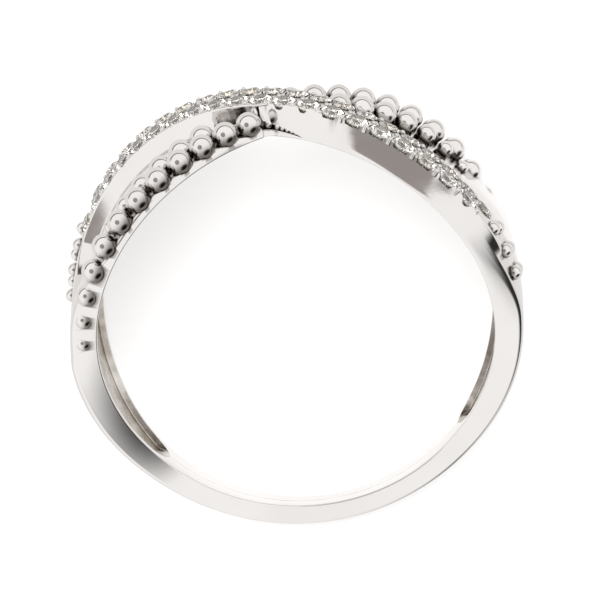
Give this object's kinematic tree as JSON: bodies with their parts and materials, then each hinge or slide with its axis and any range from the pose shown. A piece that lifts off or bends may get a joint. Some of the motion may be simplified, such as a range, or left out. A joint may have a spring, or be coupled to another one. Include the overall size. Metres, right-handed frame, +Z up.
{
  "type": "crossover ring",
  "caption": "Crossover finger ring: a narrow cast shank divides into a strand of small round stones and a strand of polished beads that cross over the finger.",
  "frame": {"origin": "centre of the finger hole, on its axis, midway between the ring's two sides", "axes": "+Z up from the flat surface that the ring lies on; +Y from the back of the shank to the crossing at the head; +X to the right seen from above. The axis of the finger hole leans 16.9 degrees from +Z towards -Y, because the ring lies on the back of its shank and on the widest parts of its far side."},
  "size_m": [0.02, 0.0191, 0.0096],
  "materials": {
    "white_gold": "polished",
    "stone": "cut and polished"
  },
  "bodies": {
    "root": {"band": "white_gold", "stone_near_1": "stone", "stone_near_2": "stone", "stone_near_3": "stone", "stone_near_4": "stone", "stone_near_5": "stone", "stone_near_6": "stone", "stone_near_7": "stone", "stone_near_8": "stone", "stone_near_9": "stone", "stone_near_10": "stone", "stone_near_11": "stone", "stone_near_12": "stone", "stone_near_13": "stone", "stone_near_14": "stone", "stone_near_15": "stone", "stone_near_16": "stone", "stone_near_17": "stone", "stone_near_18": "stone", "stone_near_19": "stone", "stone_near_20": "stone", "stone_far_1": "stone", "stone_far_2": "stone", "stone_far_3": "stone", "stone_far_4": "stone", "stone_far_5": "stone", "stone_far_6": "stone", "stone_far_7": "stone", "stone_far_8": "stone", "stone_far_9": "stone", "stone_far_10": "stone", "stone_far_11": "stone", "stone_far_12": "stone", "stone_far_13": "stone", "stone_far_14": "stone", "stone_far_15": "stone", "stone_far_16": "stone", "stone_far_17": "stone", "stone_far_18": "stone", "stone_far_19": "stone", "stone_far_20": "stone"}
  },
  "joints": []
}
